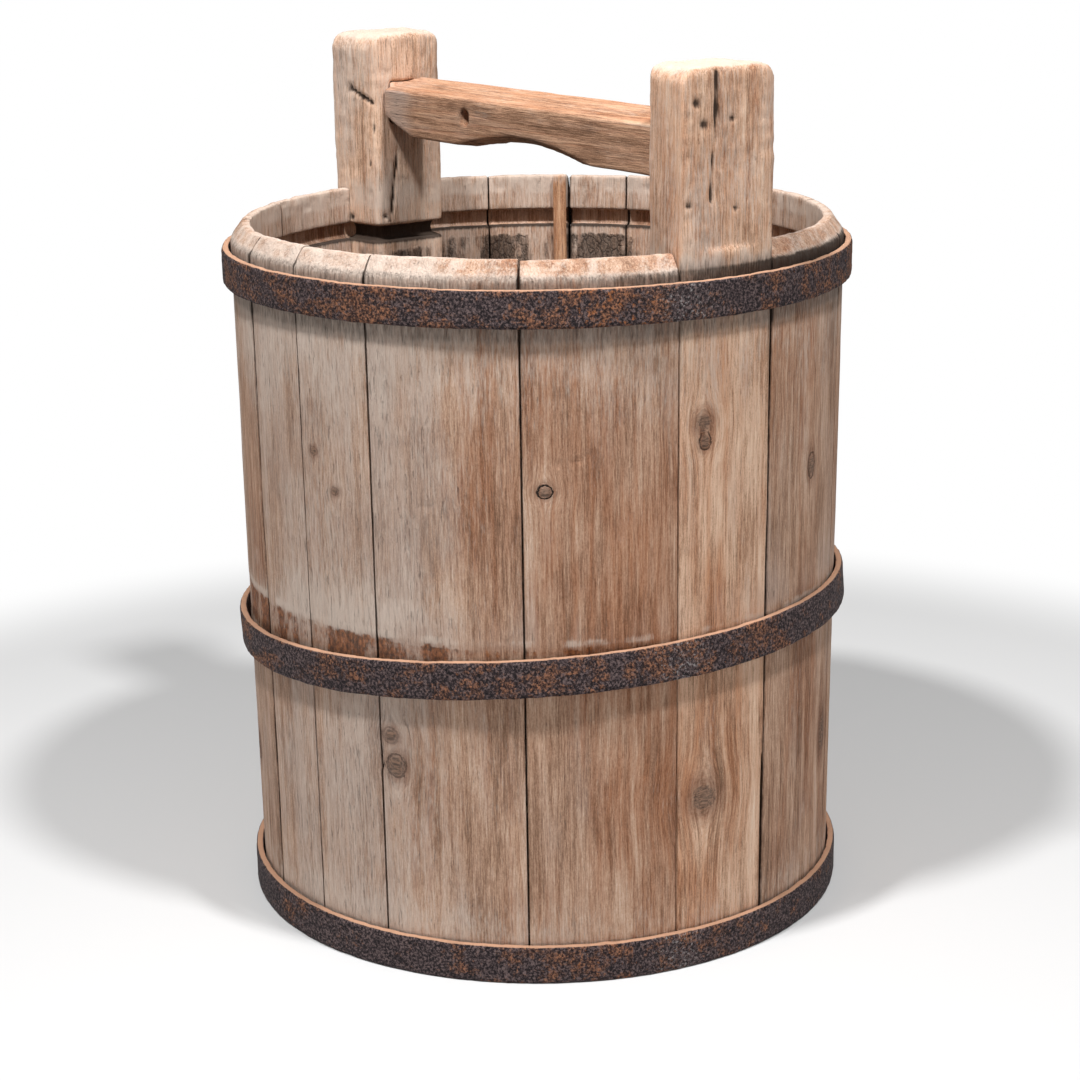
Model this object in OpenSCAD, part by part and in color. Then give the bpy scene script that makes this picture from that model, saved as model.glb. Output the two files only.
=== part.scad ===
// Coopered wooden water bucket: straight staves between two tall post staves,
// a handle bar tenoned into the posts, a boarded floor and three iron hoops.
// Millimetres. The origin is the centre of the base, +Z is up, and the posts stand on the X axis.

/* [Staves] */
// Outer radius of the wooden wall at the rim
rim_radius = 195; // [180:0.5:210]
// How much smaller that radius is at the base
taper = 4.5; // [0:0.5:9]
// Height of the rim above the base
rim_height = 443; // [430:1:460]
// Thickness of a plain stave
stave_thickness = 14; // [12:0.5:18]
// Gap that the dry wood has opened between two staves
seam_gap = 0.2; // [0.1:0.05:0.5]
// Relative widths of the staves on the far side, going round from the right post
back_staves = [29, 29.2, 11.4, 21.4, 23.6, 13.1, 18, 14];
// Relative widths of the staves on the near side, going round from the left post
front_staves = [23.8, 23.2, 24.2, 16.3, 16.5, 27.8, 27.9];

/* [Rim] */
// Width of the worn slope on the outside of the rim
rim_slope_width = 8; // [4:0.5:9]
// Height of that slope
rim_slope_height = 11; // [6:0.5:13]
// Depth of the inner groove below the rim
rim_groove_depth = 7; // [4:0.5:8]
// Height of that groove
rim_groove_height = 10; // [6:0.5:14]
// Height of the band of wood above the groove
rim_band_height = 24.5; // [18:0.5:28]

/* [Floor] */
// Height of the floor's underside above the base
floor_lift = 26; // [20:1:50]
// Thickness of the floor boards
floor_thickness = 12; // [10:0.5:16]
// Depth of the croze, the groove that holds the floor
croze_depth = 5; // [3:0.5:7]
// Clearance of the floor in its croze
floor_clearance = 0.25; // [0.1:0.05:0.5]
// Width of the middle floor board
middle_board_width = 130; // [110:1:160]
// Diameter of the dowels between floor boards
floor_dowel_diameter = 6; // [4:0.5:7]
// Length of those dowels
floor_dowel_length = 36; // [24:1:60]
// Distance of each dowel from the middle of its joint
floor_dowel_reach = 80; // [50:1:110]

/* [Posts] */
// Width of a post stave along the wall's outside
post_width = 69; // [62:0.5:80]
// Thickness of a post stave, from the wall's outside inwards
post_depth = 45; // [40:0.5:55]
// Height of the posts above the base
post_height = 548; // [538:1:570]
// Radius of the posts' two inner arrises
post_arris_radius = 7; // [3:0.5:9]
// Radius of the posts' top corners, seen from outside
post_corner_radius = 12; // [6:0.5:14]
// Radius of the posts' top edges, seen from the side
post_edge_radius = 5; // [3:0.5:7]
// How deep the worn waist goes into each side of a post
waist_depth = 3; // [1:0.25:4]
// Height of that waist
waist_length = 66; // [40:1:76]
// Distance from the posts' top down to the middle of the waist
waist_drop = 64; // [58:1:68]
// How far the posts' outer faces are shaved flat above the rim
post_flat = 1.5; // [0.5:0.25:2.5]

/* [Handle bar] */
// Height of the bar
bar_height = 37; // [32:0.5:42]
// Thickness of the bar
bar_thickness = 32; // [26:0.5:36]
// Distance from the posts' top down to the bar's top
bar_drop = 30; // [28:0.5:34]
// How far the bar's middle lies toward the near side
bar_offset = 4; // [0:0.5:6]
// Depth of the hand hollow under the bar
hollow_depth = 7; // [3:0.5:9]
// Length of the hand hollow
hollow_length = 120; // [90:1:150]
// How far the hollow's middle lies toward the right post
hollow_shift = 12; // [0:1:30]
// Depth of the worn slope on the bar's near lower arris
grip_depth = 5; // [2:0.5:6]
// Depth of that slope at the ends of the hollow
grip_end_depth = 3; // [1:0.5:4]
// Fall of the bar's worn top toward the near side, in degrees
top_slope = 12; // [4:1:14]
// Length of the cut under the bar's left end
end_cut_length = 32; // [20:1:40]
// Height of that cut
end_cut_height = 12; // [8:0.5:13]
// Diameter of the rope hole through the bar
rope_hole_diameter = 10; // [6:0.5:14]
// Distance of the rope hole from the bar's middle
rope_hole_reach = 52; // [40:1:90]
// Distance from the bar's top down to the tenons' top
tenon_drop = 3; // [2:0.5:5]
// Height of a tenon
tenon_height = 20; // [14:0.5:22]
// Thickness of a tenon
tenon_thickness = 20; // [14:0.5:24]
// Length of a tenon
tenon_length = 22; // [14:0.5:26]
// Clearance of a tenon in its mortise
tenon_clearance = 0.25; // [0.1:0.05:0.5]
// How far the left mortise is worn open below its tenon
mortise_wear = 7; // [2:0.5:9]

/* [Hoops] */
// Thickness of the hoop iron
hoop_thickness = 5; // [4:0.25:6]
// Width of the top hoop
top_hoop_width = 22.6; // [18:0.2:26]
// Width of the middle hoop
middle_hoop_width = 23.6; // [18:0.2:26]
// Width of the bottom hoop
bottom_hoop_width = 24.2; // [18:0.2:26]
// Distance from the rim down to the top hoop's upper edge
top_hoop_drop = 15.4; // [14:0.2:24]
// Height of the slipped middle hoop's centre
middle_hoop_height = 191.2; // [150:1:250]
// Rise of the middle hoop toward the right post, in degrees
middle_hoop_rise_right = 3.4; // [0:0.1:4]
// Rise of the middle hoop toward the far side, in degrees
middle_hoop_rise_far = 1.95; // [0:0.1:3]
// Least gap between a hoop and the wood
hoop_play = 0.2; // [0.1:0.05:0.6]
// Radius of the hoops' worn edges
hoop_edge_radius = 1.8; // [0.5:0.1:1.9]
// Direction of the laps, in degrees from the right post, on the far side
lap_direction = 118; // [100:1:130]
// Length of a lap along the hoop
lap_length = 46; // [36:1:60]
// Thickness that the lapped end adds
lap_thickness = 3; // [2:0.25:3.5]
// Diameter of the hoop rivets
rivet_diameter = 6; // [4:0.5:7]
// Diameter of the rivets' heads
rivet_head_diameter = 12; // [10:0.5:13]
// Height of those heads
rivet_head_height = 2.4; // [1.5:0.1:3]
// Distance between the two rivets of a lap
rivet_spacing = 22; // [16:1:26]

/* [Pegs, batten and nails] */
// Diameter of the pegs between staves
peg_diameter = 5; // [3:0.5:6]
// Length of those pegs
peg_length = 26; // [16:1:32]
// Height of the lower row of pegs
lower_peg_height = 110; // [70:1:160]
// Height of the upper row of pegs
upper_peg_height = 330; // [270:1:380]
// Clearance of pegs, dowels, rivets and nails in their holes
pin_clearance = 0.05; // [0.02:0.01:0.1]
// Width of the batten that covers an open seam inside
batten_width = 10; // [8:0.5:16]
// Thickness of that batten
batten_thickness = 4.5; // [3:0.5:6]
// Direction of the batten's middle, in degrees from the right post
batten_direction = 139.8; // [136:0.1:144]
// Diameter of the batten's nails
nail_diameter = 2.4; // [1.6:0.2:3]
// Length of those nails
nail_length = 12; // [8:0.5:14]
// Height of the lower nail above the base
lower_nail_height = 132.9; // [100:1:180]
// Height of the upper nail above the base
upper_nail_height = 287.95; // [240:1:360]

/* [Hidden] */
$fn = 96;
stave_count = len(back_staves) + len(front_staves);
// Past a surface, so that a cut leaves no skin
over = 1;
base_radius = rim_radius - taper;
post_half = asin(post_width / 2 / rim_radius);
post_inner = rim_radius - post_depth;
side_span = 180 - 2 * post_half;
gap_half = seam_gap / 2 / rim_radius * 180 / PI;
groove_top = rim_height - rim_band_height;
groove_bottom = groove_top - rim_groove_height;
floor_top = floor_lift + floor_thickness;
croze_bottom = floor_lift - floor_clearance / 2;
croze_top = floor_top + floor_clearance / 2;
floor_radius = base_radius - stave_thickness + croze_depth - floor_clearance;
bar_top = post_height - bar_drop;
bar_bottom = bar_top - bar_height;
bar_end = post_inner - tenon_clearance;
tenon_middle = bar_top - tenon_drop - tenon_height / 2;
rope_hole_height = (bar_top + bar_bottom) / 2;
waist_height = post_height - waist_drop;
top_hoop_bottom = rim_height - top_hoop_drop - top_hoop_width;
hoop_tilt = atan(norm([tan(middle_hoop_rise_right), tan(middle_hoop_rise_far)]));
hoop_tilt_direction = atan2(tan(middle_hoop_rise_far), tan(middle_hoop_rise_right));
pin_hole = 2 * pin_clearance;
nail_heights = [lower_nail_height, upper_nail_height];

// Outer radius of the wall at a height
function wall_radius(z) = base_radius + taper * z / rim_height;

// Inner radius of the wall at a height
function inner_radius(z) = wall_radius(z) - stave_thickness;

// Sum of the first n values of a list
function sum_to(list, n) = n <= 0 ? 0 : list[n - 1] + sum_to(list, n - 1);

// Directions of the seams, in degrees: those of one side run from post to post
function side_seams(widths, start) =
    [for (i = [0:len(widths)]) start + side_span * sum_to(widths, i) / sum_to(widths, len(widths))];
back_seams = side_seams(back_staves, post_half);
front_seams = side_seams(front_staves, 180 + post_half);
seams = concat(back_seams, front_seams);

// First and last direction of plain stave i, from 0, counted from the right post round the far side
function stave_start(i) =
    i < len(back_staves) ? back_seams[i] : front_seams[i - len(back_staves)];
function stave_end(i) =
    i < len(back_staves) ? back_seams[i + 1] : front_seams[i - len(back_staves) + 1];
function stave_name(i) = str("stave_", i < 9 ? "0" : "", i + 1);

// Inner radius of a hoop that sits level between two heights
function level_hoop_radius(low, high) = max(wall_radius(low), wall_radius(high)) + hoop_play;

// Inner radius of the slipped hoop: its tilt holds it, so it just clears the wood at its high side
middle_hoop_reach = rim_radius * sin(hoop_tilt) + middle_hoop_width / 2;
middle_hoop_radius =
    (wall_radius(middle_hoop_height + middle_hoop_reach)
        + middle_hoop_width / 2 * sin(hoop_tilt) + hoop_play) / cos(hoop_tilt);

// Section of a plain stave: chime and croze at the foot, groove and worn rim at the head
module stave_section() {
    crest = inner_radius(rim_height) + stave_thickness - rim_slope_width;
    polygon([
        [inner_radius(0), 0],
        [base_radius, 0],
        [wall_radius(rim_height - rim_slope_height), rim_height - rim_slope_height],
        [crest, rim_height],
        [inner_radius(rim_height), rim_height],
        [inner_radius(groove_top), groove_top],
        [inner_radius(groove_top) + rim_groove_depth, groove_top],
        [inner_radius(groove_bottom) + rim_groove_depth, groove_bottom],
        [inner_radius(groove_bottom), groove_bottom],
        [inner_radius(croze_top), croze_top],
        [inner_radius(croze_top) + croze_depth, croze_top],
        [inner_radius(croze_bottom) + croze_depth, croze_bottom],
        [inner_radius(croze_bottom), croze_bottom]
    ]);
}

// Hole for a peg across the seam in one direction
module peg_at(direction, height, diameter, length) {
    rotate([0, 0, direction])
        translate([wall_radius(height) - stave_thickness / 2, 0, height])
            rotate([90, 0, 0])
                cylinder(d = diameter, h = length, center = true);
}

// The holes of both rows of pegs at one seam
module peg_holes(direction) {
    for (height = [lower_peg_height, upper_peg_height])
        peg_at(direction, height, peg_diameter + pin_hole, peg_length + 2 * pin_hole);
}

// Hole for a nail through the batten into the wall
module nail_hole(height) {
    rotate([0, 0, batten_direction])
        translate([inner_radius(height) - batten_thickness - over, 0, height])
            rotate([0, 90, 0])
                cylinder(d = nail_diameter + pin_hole, h = nail_length + over + pin_hole);
}

module stave(i) {
    color("burlywood")
        difference() {
            rotate([0, 0, stave_start(i) + gap_half])
                rotate_extrude(angle = stave_end(i) - stave_start(i) - 2 * gap_half)
                    stave_section();
            peg_holes(stave_start(i));
            peg_holes(stave_end(i));
            if (stave_start(i) < batten_direction + 2 && stave_end(i) > batten_direction - 2)
                for (height = nail_heights)
                    nail_hole(height);
        }
}

// Plan of a post: a wedge of the wall with a flat inner face and two rounded inner arrises
module post_plan() {
    half = post_half - gap_half;
    arris_x = post_inner + post_arris_radius;
    arris_y = (arris_x * sin(half) - post_arris_radius) / cos(half);
    foot = [arris_x - post_arris_radius * sin(half), arris_y + post_arris_radius * cos(half)];
    far = 1.2 * rim_radius;
    polygon([
        [post_inner, -arris_y],
        [foot.x, -foot.y],
        [far, -far * tan(half)],
        [far, far * tan(half)],
        foot,
        [post_inner, arris_y]
    ]);
    for (side = [-1, 1])
        translate([arris_x, side * arris_y])
            circle(r = post_arris_radius);
}

// Plan of what a groove leaves of a post
module post_core(depth) {
    half = post_half - gap_half;
    apex = depth / sin(half);
    near = post_inner + depth;
    far = 1.2 * rim_radius;
    polygon([
        [near, -(near - apex) * tan(half)],
        [far, -(far - apex) * tan(half)],
        [far, (far - apex) * tan(half)],
        [near, (near - apex) * tan(half)]
    ]);
}

// Cut of a groove that follows the wall and runs round a post's inner block
module post_groove(low, high, depth) {
    translate([0, 0, low])
        linear_extrude(height = high - low)
            difference() {
                circle(r = inner_radius((low + high) / 2) + depth);
                post_core(depth);
            }
}

// What rounds an edge off: the corner of a square, less its quarter round, along X
module edge_round(length, radius) {
    difference() {
        cube([length, radius + over, radius + over]);
        translate([-over, 0, 0])
            rotate([0, 90, 0])
                cylinder(r = radius, h = length + 2 * over);
    }
}

// The worn waist and the rounded top corner on one side of a post
module post_side_wear(side) {
    half_length = waist_length / 2;
    waist_radius = (half_length * half_length + waist_depth * waist_depth) / 2 / waist_depth;
    rotate([0, 0, side * post_half]) {
        translate([post_inner - over, side * (waist_radius - waist_depth), waist_height])
            rotate([0, 90, 0])
                cylinder(r = waist_radius, h = post_depth + 4 * over);
        translate([post_inner - 10 * over, -side * post_corner_radius, post_height - post_corner_radius])
            mirror([0, side < 0 ? 1 : 0, 0])
                edge_round(post_depth + 20 * over, post_corner_radius);
    }
}

// A mortise, open at the post's inner face
module mortise(wear) {
    height = tenon_height + 2 * tenon_clearance + wear;
    width = tenon_thickness + 2 * tenon_clearance;
    translate([post_inner - over, -bar_offset - width / 2,
               tenon_middle + tenon_height / 2 + tenon_clearance - height])
        cube([tenon_length + 2 * tenon_clearance + over, width, height]);
}

// A post stave on the +X side, without its mortise
module post_body() {
    flat_x = rim_radius - post_flat;
    top_radius = wall_radius(post_height);
    difference() {
        intersection() {
            linear_extrude(height = post_height)
                post_plan();
            cylinder(r1 = base_radius, r2 = top_radius, h = post_height);
        }
        translate([flat_x, -rim_radius, rim_height])
            cube([rim_radius, 2 * rim_radius, post_height]);
        for (side = [-1, 1])
            post_side_wear(side);
        translate([flat_x - post_edge_radius, post_width, post_height - post_edge_radius])
            rotate([0, 0, -90])
                edge_round(2 * post_width, post_edge_radius);
        translate([post_inner + post_edge_radius, -post_width, post_height - post_edge_radius])
            rotate([0, 0, 90])
                edge_round(2 * post_width, post_edge_radius);
        post_groove(groove_bottom, groove_top, rim_groove_depth);
        post_groove(croze_bottom, croze_top, croze_depth);
    }
}

module post_stave_right() {
    color("tan")
        difference() {
            post_body();
            mortise(0);
            peg_holes(-post_half);
            peg_holes(post_half);
        }
}

module post_stave_left() {
    color("tan")
        difference() {
            rotate([0, 0, 180])
                post_body();
            mirror([1, 0, 0])
                mortise(mortise_wear);
            peg_holes(180 - post_half);
            peg_holes(180 + post_half);
        }
}

// The bar between the posts' inner faces, square in section
module bar_blank() {
    translate([0, -bar_offset + bar_thickness / 2, 0])
        rotate([90, 0, 0])
            linear_extrude(height = bar_thickness)
                polygon([
                    [-bar_end, bar_top],
                    [-bar_end, bar_bottom + end_cut_height],
                    [-bar_end + end_cut_length, bar_bottom],
                    [bar_end, bar_bottom],
                    [bar_end, bar_top]
                ]);
}

// The cut of a worn place along the bar: a cylinder that reaches depth into it
module bar_wear(depth) {
    half_length = hollow_length / 2;
    radius = (half_length * half_length + depth * depth) / 2 / depth;
    translate([hollow_shift, 0, depth - radius])
        rotate([90, 0, 0])
            cylinder(r = radius, h = 3 * bar_thickness, center = true, $fn = 240);
}

// The two tenons, each with its root inside the bar
module bar_tenons() {
    root = tenon_length / 4;
    for (side = [-1, 1])
        translate([side * (bar_end + (tenon_length - root) / 2), -bar_offset, tenon_middle])
            cube([tenon_length + root, tenon_thickness, tenon_height], center = true);
}

module handle_bar() {
    color("sandybrown")
        difference() {
            union() {
                bar_blank();
                bar_tenons();
            }
            translate([0, 0, bar_bottom])
                bar_wear(hollow_depth);
            translate([0, -bar_offset - bar_thickness / 2, bar_bottom])
                rotate([-45, 0, 0])
                    translate([0, 0, grip_end_depth])
                        bar_wear(grip_depth);
            translate([-bar_end, -bar_offset + bar_thickness / 2, bar_top])
                rotate([top_slope, 0, 0])
                    translate([0, -2 * bar_thickness, 0])
                        cube([2 * bar_end, 3 * bar_thickness, bar_height]);
            translate([-rope_hole_reach, 0, rope_hole_height])
                rotate([90, 0, 0])
                    cylinder(d = rope_hole_diameter, h = 3 * bar_thickness, center = true);
        }
}

// The whole floor, let into the croze and notched round the posts
module floor_disc() {
    difference() {
        translate([0, 0, floor_lift])
            cylinder(r = floor_radius, h = floor_thickness);
        for (turn = [0, 180])
            rotate([0, 0, turn])
                translate([0, 0, floor_lift - over])
                    linear_extrude(height = floor_thickness + 2 * over)
                        post_core(croze_depth - floor_clearance);
    }
}

// The dowels across one joint of the floor
module floor_dowels_at(side, diameter, length) {
    for (reach = [-1, 1])
        translate([reach * floor_dowel_reach, side * middle_board_width / 2,
                   floor_lift + floor_thickness / 2])
            rotate([90, 0, 0])
                cylinder(d = diameter, h = length, center = true);
}

// A floor board between two distances along Y
module floor_board(from, to) {
    color("peru")
        difference() {
            intersection() {
                floor_disc();
                translate([-rim_radius, from + seam_gap / 2, 0])
                    cube([2 * rim_radius, to - from - seam_gap, rim_height]);
            }
            for (side = [-1, 1])
                floor_dowels_at(side, floor_dowel_diameter + pin_hole, floor_dowel_length + 2 * pin_hole);
        }
}

module floor_dowels() {
    color("saddlebrown")
        for (side = [-1, 1])
            floor_dowels_at(side, floor_dowel_diameter, floor_dowel_length);
}

module stave_pegs(height) {
    color("darkkhaki")
        for (direction = seams)
            peg_at(direction, height, peg_diameter, peg_length);
}

// Section of a flat bar with worn edges, from the inner radius outwards
module iron_section(inner, thickness, width) {
    edge = hoop_edge_radius;
    translate([inner, edge])
        square([thickness, width - 2 * edge]);
    translate([inner, 0])
        square([thickness - edge, width]);
    for (z = [edge, width - edge])
        translate([inner + thickness - edge, z])
            circle(r = edge);
}

// Puts its children at the two rivets of a lap, each with +X pointing out of the hoop
module at_rivets(width) {
    for (side = [-1, 1])
        rotate([0, 0, side * rivet_spacing / 2 / rim_radius * 180 / PI])
            translate([0, 0, width / 2])
                children();
}

// A hoop with its lapped end and rivet holes, its lower edge at z = 0 and its lap on +X
module hoop(inner, width) {
    lap_angle = lap_length / rim_radius * 180 / PI;
    color("dimgray")
        difference() {
            union() {
                rotate_extrude()
                    iron_section(inner, hoop_thickness, width);
                rotate([0, 0, -lap_angle / 2])
                    rotate_extrude(angle = lap_angle)
                        iron_section(inner + hoop_thickness / 2, hoop_thickness / 2 + lap_thickness, width);
            }
            at_rivets(width)
                translate([inner - over, 0, 0])
                    rotate([0, 90, 0])
                        cylinder(d = rivet_diameter + pin_hole, h = hoop_thickness + lap_thickness + 4 * over);
        }
}

// Two rivets: a shank through both thicknesses and a low head outside
module rivets(inner, width) {
    radius = rivet_diameter / 2;
    head_radius = rivet_head_diameter / 2;
    grip = hoop_thickness + lap_thickness;
    color("slategray")
        at_rivets(width)
            translate([inner, 0, 0])
                rotate([0, 90, 0])
                    rotate_extrude()
                        polygon([
                            [0, pin_clearance],
                            [radius, pin_clearance],
                            [radius, grip],
                            [head_radius, grip],
                            [0.85 * head_radius, grip + 0.6 * rivet_head_height],
                            [0.5 * head_radius, grip + rivet_head_height],
                            [0, grip + rivet_head_height]
                        ]);
}

// Places of the three hoops, each with its lap in the same direction
module at_top_hoop() {
    translate([0, 0, top_hoop_bottom])
        rotate([0, 0, lap_direction])
            children();
}

module at_middle_hoop() {
    translate([0, 0, middle_hoop_height])
        rotate([0, 0, hoop_tilt_direction])
            rotate([0, -hoop_tilt, 0])
                rotate([0, 0, lap_direction - hoop_tilt_direction])
                    translate([0, 0, -middle_hoop_width / 2])
                        children();
}

module at_bottom_hoop() {
    rotate([0, 0, lap_direction])
        children();
}

top_hoop_radius = level_hoop_radius(top_hoop_bottom, top_hoop_bottom + top_hoop_width);
bottom_hoop_radius = level_hoop_radius(0, bottom_hoop_width);

// The batten follows the wall from the floor to the rim and bridges the groove
module seam_batten() {
    half_angle = batten_width / 2 / rim_radius * 180 / PI;
    low = floor_top + 2 * floor_clearance;
    color("chocolate")
        difference() {
            rotate([0, 0, batten_direction - half_angle])
                rotate_extrude(angle = 2 * half_angle)
                    polygon([
                        [inner_radius(low) - batten_thickness, low],
                        [inner_radius(low) - hoop_play, low],
                        [inner_radius(rim_height) - hoop_play, rim_height],
                        [inner_radius(rim_height) - batten_thickness, rim_height]
                    ]);
            for (height = nail_heights)
                nail_hole(height);
        }
}

// Two nails: a shank through the batten into the wall, and a flat head on the batten
module batten_nails() {
    radius = nail_diameter / 2;
    head = nail_diameter * 0.4;
    color("gray")
        for (height = nail_heights)
            rotate([0, 0, batten_direction])
                translate([inner_radius(height) - batten_thickness, 0, height])
                    rotate([0, 90, 0])
                        rotate_extrude()
                            polygon([
                                [0, -head],
                                [1.8 * radius, -head],
                                [1.8 * radius, 0],
                                [radius, 0],
                                [radius, nail_length],
                                [0, nail_length]
                            ]);
}

for (i = [0:stave_count - 1])
    stave(i);
post_stave_right();
post_stave_left();
handle_bar();
floor_board(-middle_board_width / 2, middle_board_width / 2);  // floor_board_middle
floor_board(-rim_radius, -middle_board_width / 2);  // floor_board_near
floor_board(middle_board_width / 2, rim_radius);  // floor_board_far
floor_dowels();
stave_pegs(lower_peg_height);  // stave_pegs_lower
stave_pegs(upper_peg_height);  // stave_pegs_upper
at_top_hoop() hoop(top_hoop_radius, top_hoop_width);  // hoop_top
at_middle_hoop() hoop(middle_hoop_radius, middle_hoop_width);  // hoop_middle
at_bottom_hoop() hoop(bottom_hoop_radius, bottom_hoop_width);  // hoop_bottom
at_top_hoop() rivets(top_hoop_radius, top_hoop_width);  // rivets_hoop_top
at_middle_hoop() rivets(middle_hoop_radius, middle_hoop_width);  // rivets_hoop_middle
at_bottom_hoop() rivets(bottom_hoop_radius, bottom_hoop_width);  // rivets_hoop_bottom
seam_batten();
batten_nails();
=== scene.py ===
"""Looks of the old water bucket: worn wood, rusty iron, the camera, a pale floor and studio light."""
import itertools
import math

import bpy
import numpy as np
from mathutils import Matrix, Vector


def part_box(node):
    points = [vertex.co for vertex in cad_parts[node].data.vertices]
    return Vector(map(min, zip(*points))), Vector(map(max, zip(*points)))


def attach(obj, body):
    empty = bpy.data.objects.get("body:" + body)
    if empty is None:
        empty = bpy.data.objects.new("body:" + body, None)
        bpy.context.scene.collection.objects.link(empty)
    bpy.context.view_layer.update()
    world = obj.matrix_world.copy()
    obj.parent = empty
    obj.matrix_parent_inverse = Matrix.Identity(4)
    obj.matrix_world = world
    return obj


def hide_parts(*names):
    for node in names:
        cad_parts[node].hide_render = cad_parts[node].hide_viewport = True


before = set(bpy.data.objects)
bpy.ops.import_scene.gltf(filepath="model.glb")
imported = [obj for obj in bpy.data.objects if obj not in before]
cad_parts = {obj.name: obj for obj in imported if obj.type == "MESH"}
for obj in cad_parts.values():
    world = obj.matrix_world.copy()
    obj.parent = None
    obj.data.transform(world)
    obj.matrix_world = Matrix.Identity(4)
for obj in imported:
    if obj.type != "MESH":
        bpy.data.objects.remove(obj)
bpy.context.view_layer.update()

# Everything below is in millimetres and degrees, and becomes metres when a mesh is made.
MM = 0.001

# Sizes of the wall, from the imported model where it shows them
STAVES = sorted(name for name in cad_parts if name.startswith("stave_") and name[6:].isdigit())
RIM_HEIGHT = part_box(STAVES[0])[1].z / MM
POST_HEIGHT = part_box("post_stave_right")[1].z / MM
TOP_HOOP_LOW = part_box("hoop_top")[0].z / MM
TOP_HOOP_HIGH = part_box("hoop_top")[1].z / MM
BOTTOM_HOOP_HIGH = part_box("hoop_bottom")[1].z / MM
BASE_RADIUS = 190.5
RIM_RADIUS = 195.0
WALL = 14.0
RIM_SLOPE_WIDTH = 8.0
RIM_SLOPE_HEIGHT = 11.0
GROOVE_DEPTH = 7.0
GROOVE_HIGH = 418.5
GROOVE_LOW = 408.5
CROZE_DEPTH = 5.0
CROZE_HIGH = 38.1
CROZE_LOW = 25.9
HOOP_THICKNESS = 5.0
# The rust stain where the slipped hoop once sat
STAIN_HIGH = 213.5
STAIN_LOW = 188.0
LAP_DIRECTION = 118.0
LAP_LENGTH = 46.0
LAP_THICKNESS = 3.0
BATTEN_DIRECTION = 139.8
MIDDLE_HOOP_WIDTH = 23.6
# The slipped hoop hangs askew, in degrees
MIDDLE_HOOP_RISE_X = 3.4
MIDDLE_HOOP_RISE_Y = 1.95

# The floor shows shadows out to the first radius and is plain white from the second
SHADOW_REACH = 620.0
WHITE_FROM = 820.0
FLOOR_HALF_WIDTH = 12000.0

# The lamps: direction, distance from the axis, height and width in metres, and their levels
LAMP_RIGHT_DIRECTION = 2.0
LAMP_LEFT_DIRECTION = -72.0
LAMP_DISTANCE = 0.80
LAMP_HEIGHT = 1.86
LAMP_WIDTH = 0.17
LAMP_RIGHT_LEVEL = 0.72
LAMP_LEFT_LEVEL = 0.84
AMBIENT = 0.22

# The camera, as fitted to the hoops: metres and degrees
LENS = 82.3
CAMERA_AZIMUTH = 55.15
CAMERA_DISTANCE = 1.5692
CAMERA_HEIGHT = 0.669
CAMERA_SIDE_STEP = -0.00068
CAMERA_PITCH = 15.77
CAMERA_ROLL = -0.814


def lattice(cell, seed):
    """A steady value from -1 to 1 for each whole-numbered point of an (n, 3) array."""
    mixed = cell[:, 0] * 73856093 ^ cell[:, 1] * 19349663 ^ cell[:, 2] * 83492791 ^ (seed + 1) * 40503
    mixed = (mixed ^ (mixed >> 13)) * 1274126177 & 0x7FFFFFFF
    return (mixed ^ (mixed >> 15)) % 65521 / 32760 - 1


def noise(points, size, seed=0, octaves=1):
    """Smooth noise from about -1 to 1 at (n, 3) points; size is the width of its features, one number or three."""
    scaled = points / np.asarray(size, float)
    total = np.zeros(len(points))
    strength = 1.0
    reach = 0.0
    for octave in range(octaves):
        cell = np.floor(scaled).astype(np.int64)
        part = scaled - cell
        part = part * part * (3 - 2 * part)
        for corner in itertools.product((0, 1), repeat=3):
            weight = np.prod(np.where(corner, part, 1 - part), axis=1)
            total += strength * weight * lattice(cell + np.array(corner), seed + octave)
        reach += strength
        strength *= 0.5
        scaled = scaled * 2 + 17.3
    return total / reach


def step(low, high, value):
    """0 below low, 1 above high, and a smooth rise between. low may lie above high."""
    part = np.clip((value - low) / (high - low), 0, 1)
    return part * part * (3 - 2 * part)


def bump(value, centre, width):
    """1 at the centre, falling off smoothly to 0 some widths away."""
    return np.exp(-((value - centre) / width) ** 2)


def wall_radius(z):
    return BASE_RADIUS + (RIM_RADIUS - BASE_RADIUS) * z / RIM_HEIGHT


def node_points(name):
    """The vertices of a CAD node, in millimetres."""
    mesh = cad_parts[name].data
    points = np.zeros(len(mesh.vertices) * 3)
    mesh.vertices.foreach_get("co", points)
    return points.reshape(-1, 3) / MM


def direction_of(points):
    """Directions of points from the bucket's axis, from 0 to 360 degrees."""
    return np.degrees(np.arctan2(points[:, 1], points[:, 0])) % 360


def turn_from(theta, centre):
    """Signed angle from a centre direction, in degrees."""
    return (theta - centre + 180) % 360 - 180


def stave_span(name):
    """First and last direction of a plain stave."""
    theta = direction_of(node_points(name))
    return theta.min(), theta.max()


SPANS = {name: stave_span(name) for name in STAVES}
SEAMS = np.array(sorted({round(end, 1) for span in SPANS.values() for end in span}))


# Meshes

def make_object(name, points, faces):
    """A smooth-shaded mesh object from points in millimetres."""
    mesh = bpy.data.meshes.new(name)
    mesh.from_pydata((points * MM).tolist(), [], faces)
    mesh.shade_smooth()
    obj = bpy.data.objects.new(name, mesh)
    bpy.context.scene.collection.objects.link(obj)
    return obj


def points_of(obj):
    points = np.zeros(len(obj.data.vertices) * 3)
    obj.data.vertices.foreach_get("co", points)
    return points.reshape(-1, 3) / MM


def normals_of(obj):
    normals = np.zeros(len(obj.data.vertices) * 3)
    obj.data.vertex_normals.foreach_get("vector", normals)
    return normals.reshape(-1, 3)


def move_points(obj, points):
    obj.data.vertices.foreach_set("co", (points * MM).astype(np.float32).ravel())
    obj.data.update()


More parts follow.
